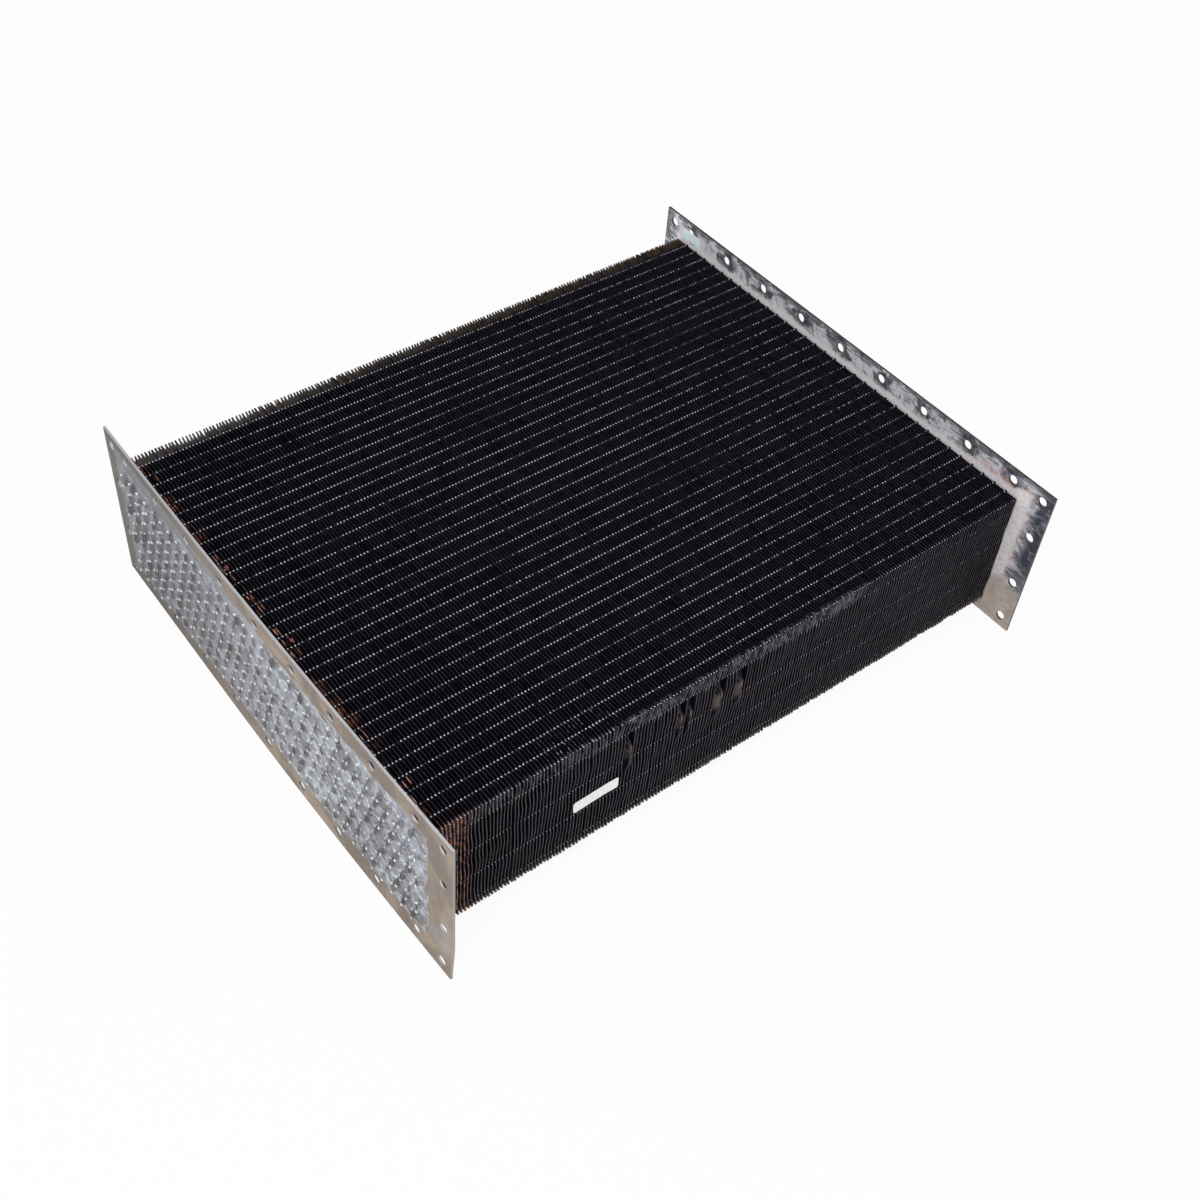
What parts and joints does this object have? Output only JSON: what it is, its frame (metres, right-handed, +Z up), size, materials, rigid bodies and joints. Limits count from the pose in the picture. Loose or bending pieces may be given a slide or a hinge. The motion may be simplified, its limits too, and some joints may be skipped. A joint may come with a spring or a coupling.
{
  "type": "engine radiator core",
  "caption": "Radiator core: flat tubes soldered through a stack of thin black fins and through two flat header plates with bolt holes round their edges.",
  "frame": {"origin": "middle of the core in plan, on the surface that the header plates stand on", "axes": "+X along the tubes from the left to the right header plate, +Y along the long edges of the header plates, +Z up through the depth of the core"},
  "size_m": [0.8796, 0.724, 0.233],
  "materials": {
    "header_plate": "bare rolled sheet, tan-grey, with tin and flux stains",
    "tubes": "tinned outside, black between the fins",
    "fins": "glossy black paint, thin or missing next to the left header plate",
    "solder": "blotchy silver tin, lumpy round the tube ends",
    "paper_label": "blank white paper",
    "film_label": "blank pale green film"
  },
  "bodies": {
    "root": {"left_header_plate": "header_plate", "right_header_plate": "header_plate", "tube_row_1": "tubes", "tube_row_2": "tubes", "tube_row_3": "tubes", "tube_row_4": "tubes", "tube_row_5": "tubes", "tube_row_6": "tubes", "tube_row_7": "tubes", "fin_pack_01": "fins", "fin_pack_02": "fins", "fin_pack_03": "fins", "fin_pack_04": "fins", "fin_pack_05": "fins", "fin_pack_06": "fins", "fin_pack_07": "fins", "fin_pack_08": "fins", "fin_pack_09": "fins", "fin_pack_10": "fins", "fin_pack_11": "fins", "fin_pack_12": "fins", "fin_pack_13": "fins", "fin_pack_14": "fins", "fin_pack_15": "fins", "fin_pack_16": "fins", "fin_pack_17": "fins", "fin_pack_18": "fins", "fin_pack_19": "fins", "fin_pack_20": "fins", "left_solder_coat": "solder", "right_solder_coat": "solder", "side_label": "paper_label", "plate_label": "film_label"}
  },
  "joints": []
}
